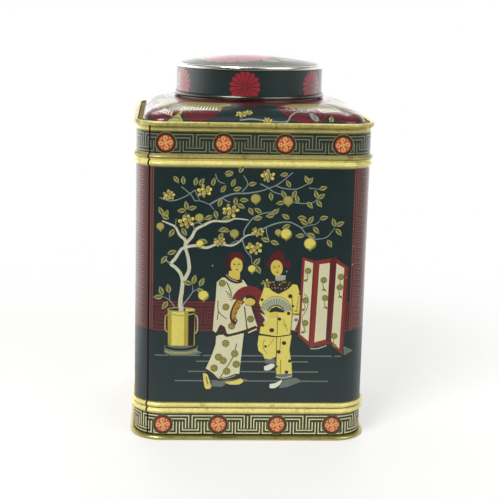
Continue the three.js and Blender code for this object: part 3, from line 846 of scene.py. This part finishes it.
def spotted_figure(p):
    """Figure in a yellow suit with dark spots, holding a grey fan."""
    p.fill("grey", [(11, 20.8), (14, 21.2), (20, 23.6), (17.4, 25), (12.6, 24)])
    p.blob("white", [(5.2, 29.4), (8.8, 30.8), (9.3, 29.6), (7.2, 27.9), (5.2, 28)])
    p.blob("white", [(7.6, 22.4), (9.8, 22.9), (12.2, 24.2), (11.4, 22.2), (9.4, 20.8), (7.5, 20.9)])
    p.fill("grey", [(5.4, 32.2), (9.2, 32.4), (9.2, 30.4), (5.6, 30.6)])
    p.fill("grey", [(9.7, 26.6), (16.2, 26.8), (15.8, 24.8), (10.2, 24.8)])
    p.stroke("cream_shade", [(9.8, 25.4), (12.8, 24.8), (16, 25.8)], 0.5)
    p.fill("yellow", [(2.8, 41.6), (9.6, 41.4), (9.5, 33.2), (7.4, 32.2), (5.2, 32.6), (4.6, 34.2),
                      (2.9, 35.6), (2.5, 38)])
    p.fill("yellow", [(9.7, 41.8), (15.3, 41.8), (14.6, 36), (15.6, 31), (15.9, 26.6), (10, 26.4),
                      (9.7, 33)])
    p.stroke("olive", [(9.6, 41.4), (9.8, 34), (9.6, 27)], 0.34)
    p.stroke("olive", [(11.2, 40.8), (11, 36)], 0.26)
    p.stroke("olive", [(11.5, 32), (11.4, 26.8)], 0.3)
    p.stroke("yellow_shade", [(5, 40), (4.6, 37), (6.2, 34.4)], 0.3)
    p.stroke("yellow_shade", [(6.4, 37), (8.6, 40.4)], 0.3)
    p.fill("cream", [(15.2, 49.8), (18.4, 49.6), (17.6, 46.2), (16.8, 43.6), (14.8, 44)])
    p.oval("grey", 16.8, 47.8, 0.7)
    p.stroke("brown", [(18.3, 49.6), (17.5, 46.2), (16.6, 43.8)], 0.4)
    jacket = [(4.4, 60.4), (7.4, 60), (10.6, 59), (14.4, 61.8), (16.8, 61.4), (18, 58), (18.4, 50),
              (15.3, 49.9), (14.9, 42), (9.4, 41.4), (3.1, 42.4), (3.4, 44.6), (5.6, 48.8), (3.6, 52),
              (2.6, 54.4)]
    p.fill("yellow", jacket)
    p.stroke("brown", [(2.9, 42), (9.4, 41.2), (15, 42)], 0.45)
    p.stroke("olive", [(9.7, 50), (9.8, 42)], 0.3)
    p.stroke("olive", [(14.9, 57.6), (15.3, 50.2), (14.8, 42.4)], 0.34)
    p.stroke("yellow_shade", [(12, 48), (13, 45.4), (13.6, 43.4)], 0.3)
    p.stroke("yellow_shade", [(12, 46.4), (13.6, 44)], 0.3)
    p.stroke("yellow_shade", [(17.4, 57), (17, 52)], 0.4)
    p.stroke("olive", [(15.6, 50.1), (18.3, 50.1)], 0.45)
    p.fill("amber", [(15.8, 51), (17.6, 51), (16.8, 52)])
    for x, z, r in ((14.3, 57, 0.85), (18.2, 58, 0.75), (3.7, 55.6, 0.6), (7.7, 43.7, 0.95),
                    (10.5, 48.1, 0.7), (13.9, 50.3, 0.7), (4.3, 45.6, 0.6), (5.5, 37.3, 0.55),
                    (12.5, 38.7, 0.85), (10.6, 35.2, 0.8), (14.9, 31.6, 0.7), (9.9, 29.4, 0.5),
                    (13.8, 27.2, 0.75), (15.4, 53.2, 0.55), (8, 49.6, 0.6)):
        p.oval("brown", x, z, r, r * 0.95)
    p.oval("hair", 9, 70.4, 3.1, 3.2, n=24)
    p.oval("hair", 9.4, 73, 2.0, 1.3, n=18)
    p.oval("hair", 12.9, 69.2, 1.3, 1.5, n=16)
    p.oval("hair", 5.8, 69, 1.0, 1.3, n=14)
    p.fill("cream_shade", [(8.4, 65.2), (12.4, 65), (12.2, 62.6), (8.6, 62.6)])
    face(p, 8.9, 67.8, 0.14)
    p.stroke("hair", [(6.3, 70.6), (8.4, 71.6), (11.4, 70.6)], 0.8)
    p.fill("brown", [(4.2, 62.2), (6.8, 63.4), (9.8, 62.8), (13.6, 63.6), (15.4, 62), (13.8, 60),
                     (11.2, 58.4), (9.8, 57.8), (7.4, 59)])
    rnd = random.Random(5)
    for _ in range(26):
        x, z = rnd.uniform(5.6, 14), rnd.uniform(59.4, 62.6)
        if z > 58.6 + 0.5 * abs(x - 10):
            p.oval("cream_shade", x, z, 0.24, 0.2)
    p.blossom(5.2, 62, 1.7, 0.3, 5)
    fan(p, "cream_shade", "grey", 9.1, 50.4, 5.9, 3.0, 8, 168, 14)
    p.stroke("twig", [(3.4, 51.6), (4.6, 54.8), (7.4, 56.6), (10.8, 56.6), (13.6, 54.8), (14.9, 51.4)],
             0.35)
    p.fill("ground", [(6.4, 50.6), (7.2, 52.2), (9.2, 53), (11.2, 52), (12.2, 50.6), (9.4, 50.8)])
    p.blob("flesh", [(6.2, 49), (8, 50.8), (10.2, 50.6), (9.4, 48.8), (7.4, 48.4)])
    p.fill("cream", [(3.2, 50.4), (5, 49.6), (6.4, 48.2), (5.6, 46.8), (4.4, 48.8)])


def screen(p):
    """Three-leaf folding screen with red posts and rails."""
    p.fill("grey", [(35.2, 37.6), (39.4, 35.4), (35.4, 33.9)])
    p.fill("red", [(18.3, 72.2), (23.2, 70.6), (22.2, 37.4), (17.6, 41.6)])
    p.fill("cream", [(19.3, 70.8), (22.4, 69.8), (21.7, 39.4), (18.4, 42.2)])
    p.fill("red", [(22.6, 70.6), (30.9, 72), (30, 38.6), (22, 37)])
    p.fill("cream", [(24.8, 69.4), (28.7, 70), (28.2, 40.2), (23.9, 39)])
    p.fill("red_dark", [(28.8, 71.4), (31, 71.9), (30.2, 39), (28.3, 39.4)])
    p.fill("red", [(30.6, 72), (36, 68), (35, 34), (29.6, 38.8)])
    p.fill("red_dark", [(30.6, 71.8), (31.2, 71.4), (30.4, 38.6), (29.8, 39)])
    p.fill("cream", [(31.2, 69.8), (34.2, 68), (33.5, 36.6), (30.3, 39.6)])
    p.stroke("red_dark", [(22.8, 70.6), (22, 37)], 0.3)
    p.stroke("cream_shade", [(22.4, 36.6), (25, 36.6), (28.6, 37.8)], 0.45)
    p.stroke("red_dark", [(35.6, 67.6), (34.7, 34.6)], 0.35)
    for x, z in ((20.6, 66.8), (20, 55.4), (26.6, 63.3), (27.4, 56.4), (33, 64.6), (32.8, 60.6),
                 (31.4, 41.6), (20.2, 46.6)):
        p.roundel(x, z, 1.35)
        p.stroke("olive", [(x - 0.4, z - 1.4), (x, z - 3), (x - 0.5, z - 4.2)], 0.3)
        p.leaf(x - 0.2, z - 3.2, -150 if x < 25 else -40, 1.8)
    p.stroke("olive", [(19.4, 58), (21, 56), (20.6, 52), (19, 49), (19.4, 46), (20.6, 43)], 0.28)


def floor_lines(p):
    """Broken grey lines across the floor."""
    for z, a, b in ((33.6, -36.4, -31.2), (33.6, -29.4, -19), (33.6, -18, 31), (33.6, 32, 34.4),
                    (31.3, -20.6, 22), (27.3, -23.6, 26), (23.6, -28.6, 30)):
        p.rect("grey", a, b, z - 0.24, z + 0.24)


# The parts of each design, one over another, with their own register shifts.
whole_scene = ((floor_lines, 0.0), (pot_tree, -0.4), (brass_pot, -0.1), (robed_figure, -0.1),
               (spotted_figure, 0.1), (screen, 0.2))
garden = ((floor_lines, 0.0), (pot_tree, 0.0), (brass_pot, 0.0), (screen, -9.0), (spotted_figure, 1.0))
columns = span(-46.0, -flat, 0.9) + span(flat, 46.0, 0.9)
levels = [z for lower, upper in rib_pairs for z in span(lower - rib_half, upper + rib_half, 0.15)]
designs = (("front", 1, whole_scene), ("right", -1, garden), ("back", -1, whole_scene), ("left", 1, garden))
for side, (name, flip, parts) in enumerate(designs):
    u0 = front_edge if name == "front" else -corner_mid
    u1 = end_of_left - jog_from if name == "left" else corner_mid
    p = Press([(u0, print_foot), (u1, print_foot), (u1, wall_top), (u0, wall_top)])
    side_frame(p, u0, u1)
    low_wall(p, -37.2, 37.2)
    for draw, shift in parts:
        p.flip, p.dx = flip, flip * shift
        draw(p)
    p.trim(u0, u1, print_foot)
    cols = [u for u in columns if u0 < u < u1]
    imprint("print_" + name, p, wall_place(side), "caddy", cols, levels)

# ---------------------------------------------------------------- base
# A pressed tin bottom with a stepped panel, lacquered gold. Its edge is rolled
# over the foot of the wall, so the tin stands on the roll.

gold_lacquer = metal("gold_lacquer", "c6bb74", 0.3, 0.9)


def square_plan(out):
    """Points round the square plan, out millimetres outside the wall."""
    places = around((-corner_mid, corner_mid), 22.0, 0.864)[:-1]
    return [side_point(side, u, out)[:2] for side in range(4) for u in places]


def square_ring(name, profile, ends=()):
    """A profile of (out, z) carried round the square plan."""
    return solid(name, [[(x, y, z) for x, y in square_plan(out)] for out, z in profile], ends)


plan_count = len(square_plan(0))
panel_foot, panel_top = 1.2, 1.5
base = square_ring("base_pan", [
    (-9.5, 1.9), (-9.0, 1.9), (-8.4, 1.75), (-8.0, 1.25), (-7.6, panel_foot), (-1.6, panel_foot),
    (-1.2, 1.1), (-0.95, 0.6), (-0.7, 0.15), (-0.2, 0.0), (0.6, 0.0), (1.1, 0.15), (1.4, 0.5), (1.5, 0.9),
    (1.4, 1.3), (1.1, 1.6), (0.7, 1.7), (0.3, 1.65), (0.06, 1.4), (0.06, 1.0), (-0.5, 0.9), (-0.75, 1.1),
    (-1.2, panel_top), (-7.6, panel_top), (-8.0, 1.6), (-8.4, 2.1), (-9.5, 2.2)], (range(plan_count),))
base.data.materials.append(gold_lacquer)
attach(base, "caddy")
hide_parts("base_end")

# ---------------------------------------------------------------- shoulder
# Pressed top end: an edge rolled down over the wall, a narrow ledge, and a dome
# that draws the square plan in to the round neck, printed before it was pressed.

rim_gold = ink("rim_gold", "d2c570", plate=0.45, rough=0.42, coat=0.2, mottle=0.2, chips=1.0, stain=0.8)
hole = 28.9
ledge_z = mm(wall_high.z)
dome_rise = round(mm(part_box("shoulder_end")[1].z) - ledge_z, 2)
foot_half, foot_bend = 41.6, 8.6
foot_flat = foot_half - foot_bend


def foot_reach(angle):
    """Distance from the axis to the dome's square foot in that direction."""
    dx, dy = abs(math.sin(angle)), abs(math.cos(angle))
    r = foot_half / max(dx, dy)
    if r * min(dx, dy) <= foot_flat:
        return r
    b = foot_flat * (dx + dy)
    return b + math.sqrt(b * b - (2 * foot_flat ** 2 - foot_bend ** 2))


def dome_point(angle, climb, drop=0.0):
    """A place on the dome: round the axis by angle, and up from its foot by climb."""
    r = hole + (foot_reach(angle) - hole) * math.cos(climb)
    return Vector((r * math.sin(angle), -r * math.cos(angle), ledge_z + dome_rise * math.sin(climb) - drop))


rim_skirt, rim_top = mm(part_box("shoulder_end")[0].z), 122.1
rim = square_ring("shoulder_rim", [
    (0.06, 121.2), (0.06, 120.7), (0.35, 120.42), (0.7, rim_skirt), (1.0, 120.55), (1.1, 120.9),
    (1.1, ledge_z), (0.95, 121.9), (0.55, rim_top), (0.0, rim_top), (-0.45, 122.0), (-0.62, 121.75),
    (-0.8, ledge_z), (-1.8, 121.45), (-2.4, ledge_z), (-2.4, 121.2), (-0.8, 121.1), (-0.5, 121.3),
    (0.0, ledge_z), (0.06, 121.2)])
rim.data.materials.append(rim_gold)
# The rim's inner wall and the ledge take a darker, matt copy of the rim gold: painted shade, with heavy
# brown stains.
rim.data.materials.append(
    ink("ledge_gold_stain_and_shade", "8a7436", rough=0.6, coat=0.0, mottle=0.25, stain=1.0, gloss=0.05))
ledge_rows = range(10, 14)
for facet in rim.data.polygons:
    if facet.index // plan_count in ledge_rows:
        facet.material_index = 1
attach(rim, "caddy")

turns = 144
bearings = [2 * math.pi * i / turns for i in range(turns)]
climbs = [0.0, 0.06, 0.13, 0.22, 0.33, 0.46, 0.6, 0.75, 0.9, 1.05, 1.2, 1.35, 1.48, math.pi / 2]


def under_dome(a, c):
    """The dome's inside, a sheet's thickness from its outside."""
    inward = Vector((math.sin(a) * tin * math.cos(c), -math.cos(a) * tin * math.cos(c),
                     0.05 + 0.28 * math.sin(c)))
    return dome_point(a, c) - inward


outer = [[dome_point(a, c, 0.03) for a in bearings] for c in climbs]
inner = [[under_dome(a, c) for a in bearings] for c in reversed(climbs)]
dome = solid("shoulder_dome", outer + inner + outer[:1])
dome.data.materials.append(tinplate)
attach(dome, "caddy")
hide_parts("shoulder_end")

# Printing on the dome: waves and a flowering twig under the neck, on the dark ground.
# The flat sheet is ARC millimetres long for each radian round, and UP high for each of climb.
ARC, UP = 36.0, 9.0


def dome_place(s, v):
    """Maps the flat sheet on to the dome."""
    a, c = s / ARC, v / UP
    e = 1e-3
    along = dome_point(a + e, c) - dome_point(a - e, c)
    upward = dome_point(a, min(c + e, math.pi / 2)) - dome_point(a, max(c - e, 0))
    return dome_point(a, c) * MM, along.cross(upward).normalized()


sheet_top = math.pi / 2 * UP
sheet_end = math.pi * ARC


class DomePress(Press):
    """Draws in millimetres along a foot edge and up the slope, and lays it round the dome."""

    turn = 0.0

    def fill(self, tone, pts):
        laid = [((math.atan(x / foot_half) + self.turn) * ARC, min(max(v, 0.0), sheet_top)) for x, v in pts]
        all_round = 2 * math.pi * ARC
        if sum(x for x, _ in laid) / len(laid) > sheet_end:
            laid = [(x - all_round, v) for x, v in laid]
        for shift in (-all_round, 0, all_round):
            moved = [(min(max(x + shift, -sheet_end), sheet_end), v) for x, v in laid]
            if max(x for x, _ in moved) - min(x for x, _ in moved) > 1e-6:
                self.shapes.append((tone, moved))


p = DomePress([(-sheet_end, 0), (sheet_end, 0), (sheet_end, sheet_top), (-sheet_end, sheet_top)])


def ring_arc(p, tone, cx, cy, r, w, a0, a1):
    """Part of a ring, w wide."""
    n = max(6, int(r * abs(a1 - a0) * 1.6))
    outside, inside = (arc_points(cx, cy, radius, a0, a1, n) for radius in (r + w / 2, r - w / 2))
    p.fill(tone, outside + inside[::-1])


for quarter in range(4):
    p.turn = quarter * math.pi / 2
    for cx, cy, radii, a0, a1 in (
        (-21.5, 9.0, (7.6, 6.0, 4.4, 2.8), 1.02, 1.98), (19.5, 10.4, (9.6, 8.0, 6.4, 4.8), 1.02, 1.9),
        (35.5, 8.6, (7.4, 5.8, 4.2, 2.6), 1.0, 2.0), (-36.5, 8.0, (6.8, 5.2, 3.6), 1.0, 2.0),
    ):
        for r in radii:
            ring_arc(p, "wave", cx, cy, r, 1.1, math.pi * a0, math.pi * a1)
    p.rect("wave", -foot_half, foot_half, 10.7, 11.5)
    p.rect("wave", -foot_half, foot_half, 11.8, 13.9)
    p.blob("sand", [(-39, 8.2), (-32, 8.4), (-26, 8.2), (-20, 7.8), (-15, 8.3), (-11, 9.4), (-12, 10.8),
                    (-22, 11.4), (-36, 11.2)])
    p.blob("sand", [(11, 9.4), (20, 8.2), (27, 8.4), (31, 8.8), (37, 8.4), (40, 10.2), (33, 11.2),
                    (20, 11.2)])
    rnd = random.Random(11)
    for a, b in ((-39, -14), (13, 40)):
        for _ in range(110):
            x, deep = rnd.uniform(a, b), rnd.random() ** 2
            p.oval("sand", x, 8.5 - 2.6 * deep, 0.5 - 0.3 * deep, n=8)
    pitch = 1.35
    for x0, z0, n, lean, drop in ((-31, 7.1, 12, 0.3, 0.02), (-40.8, 6.2, 7, 0.5, -0.3),
                                  (27.5, 6.9, 8, -0.3, 0.08)):
        stem = [(x0, z0 - 1), (x0 + pitch * n / 2, z0 - 0.7 + drop * n / 2),
                (x0 + pitch * n, z0 - 1 + drop * n)]
        p.stroke("cream_shade", stem, 0.4, 0.25)
        for k in range(n):
            p.oval("cream", x0 + pitch * k, z0 + drop * k, 0.3, 1.15, lean, n=12)
    p.stroke("twig", [(-6, 1.6), (-1.5, 2.2), (3, 1.6), (8.5, 1.0), (11.6, 1.4), (13.4, 4.0), (16.6, 6.0),
                      (21, 6.0)], 0.7, 0.45)
    p.stroke("twig", [(3.6, 1.7), (4.4, 0.4)], 0.5, 0.4)
    p.stroke("twig", [(10.4, 1.1), (12.4, 0.3)], 0.45, 0.35)
    p.oval("brown", 22.2, 3.4, 1.65, 2.35, 0.3, n=20)
    p.oval("twig", 22.2, 3.4, 1.4, 2.1, 0.3, n=20)
    p.stroke("brown", [(22.4, 4.6), (22.1, 2.2)], 0.35)
    p.blossom(-5.6, 4.6, 2.0, 0.2, 6)
    p.blossom(-3.0, 5.4, 1.7, 0.6, 6)
    p.blossom(4.2, 1.6, 1.7, 0.3, 6)
    p.fill("leaf_edge", [(-32.4, 0.6), (-30.6, 3.2), (-29.6, 7.0), (-28.4, 3.2), (-26.6, 0.6)])
    p.stroke("brown", [(-31.4, 1.6), (-29.8, 2.6), (-27.8, 1.6)], 0.35)
    p.stroke("brown", [(-30.4, 3.4), (-29.6, 4.4), (-28.6, 3.4)], 0.3)
    p.leaf(27.6, 1.2, 60, 3.2)

grid_s = [ARC * math.radians(2.5 * k) for k in range(-71, 72)]
grid_v = [UP * c for c in climbs[1:-1]]
imprint("print_shoulder", p, dome_place, "caddy", grid_s, grid_v)

# ---------------------------------------------------------------- neck collar
# A plain hoop of bare tinplate, its foot seamed into the dome's hole and its
# mouth curled inward. The lid slips over it.


def lathe(name, profile):
    """A profile of (radius, height) spun round the axis."""
    return solid(name, [[(r * math.sin(a), -r * math.cos(a), z) for a in bearings] for r, z in profile])


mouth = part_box("neck_collar")[1].z / MM
flange_foot = 127.4
collar = lathe("neck_hoop", [
    (27.0, flange_foot), (27.98, 127.5), (28.0, mouth - 0.7), (27.8, mouth - 0.35), (27.5, mouth - 0.3),
    (27.2, mouth - 0.5), (27.1, mouth - 0.9), (26.75, mouth - 0.8), (26.8, mouth - 0.3),
    (27.1, mouth - 0.06), (27.6, mouth), (28.1, mouth - 0.1), (28.28, mouth - 0.5), (28.3, 128.35),
    (28.5, 128.2), (29.1, 128.05), (29.1, 127.8), (28.4, flange_foot), (27.0, flange_foot)])
collar.data.materials.append(tinplate)
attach(collar, "caddy")
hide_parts("neck_collar")

# ---------------------------------------------------------------- lid band
# A printed tin hoop, its lower edge rolled outward into a curl and its upper
# edge turned under the crown's seam.

lid_low, lid_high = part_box("lid_band")
curl_r, lid_foot = lid_high.x / MM, lid_low.z / MM
lid_metal = ink("lid_metal", "5c5a52", plate=0.9, rough=0.28, coat=0.5, mottle=0.15, chips=0.3)
lid_wall, lid_inside = 28.95, 28.65
lid_skin = lid_wall - skin_gap
seam_z = 139.9
curl_wide, curl_tall, curl_steps = 0.62, 0.882, 12
profile = [(lid_inside, seam_z), (lid_inside, lid_foot + 0.3), (28.85, lid_foot + 0.05)]
for k in range(curl_steps + 1):
    a = -math.pi / 2 - 0.3 + 1.35 * math.pi * k / curl_steps
    profile.append((curl_r - curl_wide + curl_wide * math.cos(a),
                    lid_foot + 0.95 + curl_tall * math.sin(a)))
profile += [(lid_skin, lid_foot + 1.5), (lid_skin, seam_z), (lid_inside, seam_z)]
lid_band = lathe("lid_hoop", profile)
lid_band.data.materials.append(lid_metal)
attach(lid_band, "lid")
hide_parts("lid_band")

hoop_end = math.pi * lid_wall
print_low, print_high = lid_foot + 1.6, seam_z + 0.1
p = Press([(-hoop_end, print_low), (hoop_end, print_low), (hoop_end, print_high), (-hoop_end, print_high)])


def chrysanthemum(p, x, z, r, wide=0.74):
    """A round head of sixteen blunt petals with a ringed heart; wide closes the gaps between them."""
    petals = 16
    half_w = r * math.sin(math.pi / petals)
    tip = [math.pi * k / 8 for k in range(9)]
    petal = [(0.12 * r, 0)] + [(0.86 * r + 0.14 * r * math.sin(t),
                                -half_w * wide * math.cos(t)) for t in tip]
    for i in range(petals):
        p.fill("lid_red", turned(x, z, 2 * math.pi * (i + 0.5) / petals, petal))
    p.oval("lid_red_dark", x, z, r * 0.2, n=20)
    p.oval("lid_red", x, z, r * 0.145, n=18)
    p.oval("lid_red_dark", x, z, r * 0.07, n=12)


# Six flowers; the last straddles the hoop's joint, so it's drawn at both ends.
for k in range(6):
    a = -math.pi / 3 * 2 + math.pi / 3 * k - math.radians(7)
    chrysanthemum(p, a * lid_wall, 133.8, 5.9)
chrysanthemum(p, (a - 2 * math.pi) * lid_wall, 133.8, 5.9)
p.trim(-hoop_end, hoop_end, print_low)


def band_place(s, z):
    """Maps the flat strip on to the hoop."""
    a = s / lid_wall
    n = Vector((math.sin(a), -math.cos(a), 0))
    return (n * lid_wall + Vector((0, 0, z))) * MM, n


hoop_cuts = [lid_wall * math.radians(2.5 * k) for k in range(-71, 72)]
imprint("print_lid_band", p, band_place, "lid", hoop_cuts)

# ---------------------------------------------------------------- lid crown
# A slightly domed disc of tinplate, printed with flowers, its bright edge rolled
# down over the top of the hoop.

crown_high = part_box("lid_crown")[1]
top, crown_r = crown_high.z / MM, crown_high.x / MM
field = crown_r - 2.2
crown_rise, crown_edge = 3.3, 27.35
crown_drop = crown_rise / crown_edge ** 2


def crown_z(r):
    """Height of the shallow dome, r from the axis."""
    return top - crown_drop * r * r


profile = [(r, crown_z(r) - skin_gap) for r in [0.001] + span(2, field, 2.2)]
profile += [
    (field + 0.5, 141.05), (crown_r - 1.3, 141.15), (crown_r - 0.7, 141.3), (crown_r - 0.2, 141.15),
    (crown_r, 140.8), (crown_r, 140.3), (crown_r - 0.15, 139.98), (crown_r - 0.45, seam_z),
    (lid_wall + 0.05, 140.1), (lid_wall + 0.05, 140.6), (28.2, 140.7), (field, crown_z(field) - 0.5)]
profile += [(r, crown_z(r) - skin_gap - tin) for r in span(2, field - 1, 2.2)[::-1] + [0.001]]
bright = metal("bright_rim", "dddcd2", 0.24)
crown = lathe("lid_top", profile)
crown.data.materials.append(bright)
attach(crown, "lid")
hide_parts("lid_crown")

p = Press(arc_points(0, 0, field, 0, 2 * math.pi, 96)[:-1])
p.oval("gold_dull", 0, 0, field - 1.2, n=90)
p.oval("ground", 0, 0, field - 1.7, n=90)
for turn, far, r in ((-128, 9.6, 13.6), (12, 13.4, 10.4), (118, 12.6, 11.0)):
    x, y = far * math.cos(math.radians(turn)), far * math.sin(math.radians(turn))
    chrysanthemum(p, x, y, r, 0.86)
for turn in (-52, -78, 62, 78, 168, 184):
    a = math.radians(turn)
    p.leaf(17 * math.cos(a), 17 * math.sin(a), turn + 70, 7.5)


def crown_place(x, y):
    """Maps the flat disc on to the shallow dome."""
    spot = Vector((x, y, crown_z(math.hypot(x, y)))) * MM
    return spot, Vector((2 * crown_drop * x, 2 * crown_drop * y, 1)).normalized()


crown_cuts = span(-24, 24, 3.0)
imprint("print_lid_crown", p, crown_place, "lid", crown_cuts, crown_cuts)

# ---------------------------------------------------------------- table and light
# A plain white table that fades out round the tin, in white surroundings that
# are brighter behind it and dimmer in front, with three soft panels of light.

bpy.ops.mesh.primitive_plane_add(size=1.6, location=(0, 0, 0))
table = bpy.context.object
table.name = "table"
cloth, tree, skin = new_material("table")
where = here(tree)
tree.links.new(ramp(tree, noise(tree, where, 3.0), 0.0, 1.0, 0.52, 0.56), skin["Base Color"])
far = node(tree, "ShaderNodeVectorMath", {0: where}, operation="LENGTH").outputs["Value"]
tree.links.new(ramp(tree, far, 0.06, 0.32, 1.0, 0.0, "SMOOTHSTEP"), skin["Alpha"])
skin["Roughness"].default_value = 0.7
skin["Specular IOR Level"].default_value = 0.2
path = node(tree, "ShaderNodeLightPath", {}).outputs
shine = calc(tree, "MULTIPLY", path["Is Glossy Ray"], 0.2)
glow = calc(tree, "MULTIPLY_ADD", path["Is Camera Ray"], 0.5, shine)
tree.links.new(glow, skin["Emission Strength"])
skin["Emission Color"].default_value = (1, 1, 0.98, 1)
table.data.materials.append(cloth)

world = bpy.data.worlds.new("studio")
bpy.context.scene.world = world
world.use_nodes = True
tree = world.node_tree
back = tree.nodes["Background"].inputs
where = node(tree, "ShaderNodeTexCoord", {}).outputs["Generated"]
toward = node(tree, "ShaderNodeSeparateXYZ", {0: where}).outputs
behind = ramp(tree, toward["Y"], -0.75, 0.75, 0.03, 1.9, "SMOOTHSTEP")
above = ramp(tree, toward["Z"], 0.1, 0.55, 1.0, 0.1, "SMOOTHSTEP")
across = ramp(tree, toward["X"], -1.0, 1.0, 1.3, 0.65)
light = calc(tree, "MULTIPLY", calc(tree, "MULTIPLY", behind, above), across)
path = node(tree, "ShaderNodeLightPath", {}).outputs
seen = node(tree, "ShaderNodeMix", {"Factor": path["Is Camera Ray"], 2: light, 3: 1.0}, data_type="FLOAT")
tree.links.new(seen.outputs[0], back["Strength"])
back["Color"].default_value = (1, 1, 1, 1)


def softbox(name, place_at, size, watts):
    """A soft panel of light aimed at the middle of the tin."""
    panel = bpy.data.lights.new(name, "AREA")
    panel.shape = "RECTANGLE"
    panel.size, panel.size_y = size
    panel.energy = watts
    obj = bpy.data.objects.new(name, panel)
    bpy.context.scene.collection.objects.link(obj)
    obj.location = place_at
    aim = Vector((0, 0, 0.07)) - Vector(place_at)
    obj.rotation_euler = aim.to_track_quat("-Z", "Y").to_euler()


softbox("key", (-0.55, -0.85, 0.95), (0.5, 0.5), 11.5)
softbox("fill", (0.75, -0.8, 0.6), (0.9, 0.8), 5.5)
softbox("over", (0, 0.75, 0.95), (0.9, 0.5), 4.5)

# ---------------------------------------------------------------- camera
# A longish lens in front of the tin, a little above its lid and looking slightly
# down, with a slight tilt to one side. The shift sets the tin in the frame.

eye = Vector((-33.0, -471.8, 168.7)) * MM
yaw, pitch, roll = 0.0416, 0.1959, 0.0189
cam_data = bpy.data.cameras.new("camera")
cam = bpy.data.objects.new("camera", cam_data)
bpy.context.scene.collection.objects.link(cam)
ahead = Vector((math.sin(yaw) * math.cos(pitch), math.cos(yaw) * math.cos(pitch), -math.sin(pitch)))
right0 = Vector((math.cos(yaw), -math.sin(yaw), 0))
up0 = right0.cross(ahead)
right = right0 * math.cos(roll) + up0 * math.sin(roll)
up = up0 * math.cos(roll) - right0 * math.sin(roll)
turn = cam.matrix_world.to_3x3()
for i in range(3):
    turn[i][0], turn[i][1], turn[i][2] = right[i], up[i], -ahead[i]
cam.matrix_world = turn.to_4x4()
cam.location = eye
cam_data.sensor_width = 36
cam_data.lens = 85.1
cam_data.shift_x, cam_data.shift_y = 0.0735, -0.048
cam_data.clip_start, cam_data.clip_end = 0.01, 20
bpy.context.scene.camera = cam
bpy.context.scene.view_settings.view_transform = "Standard"
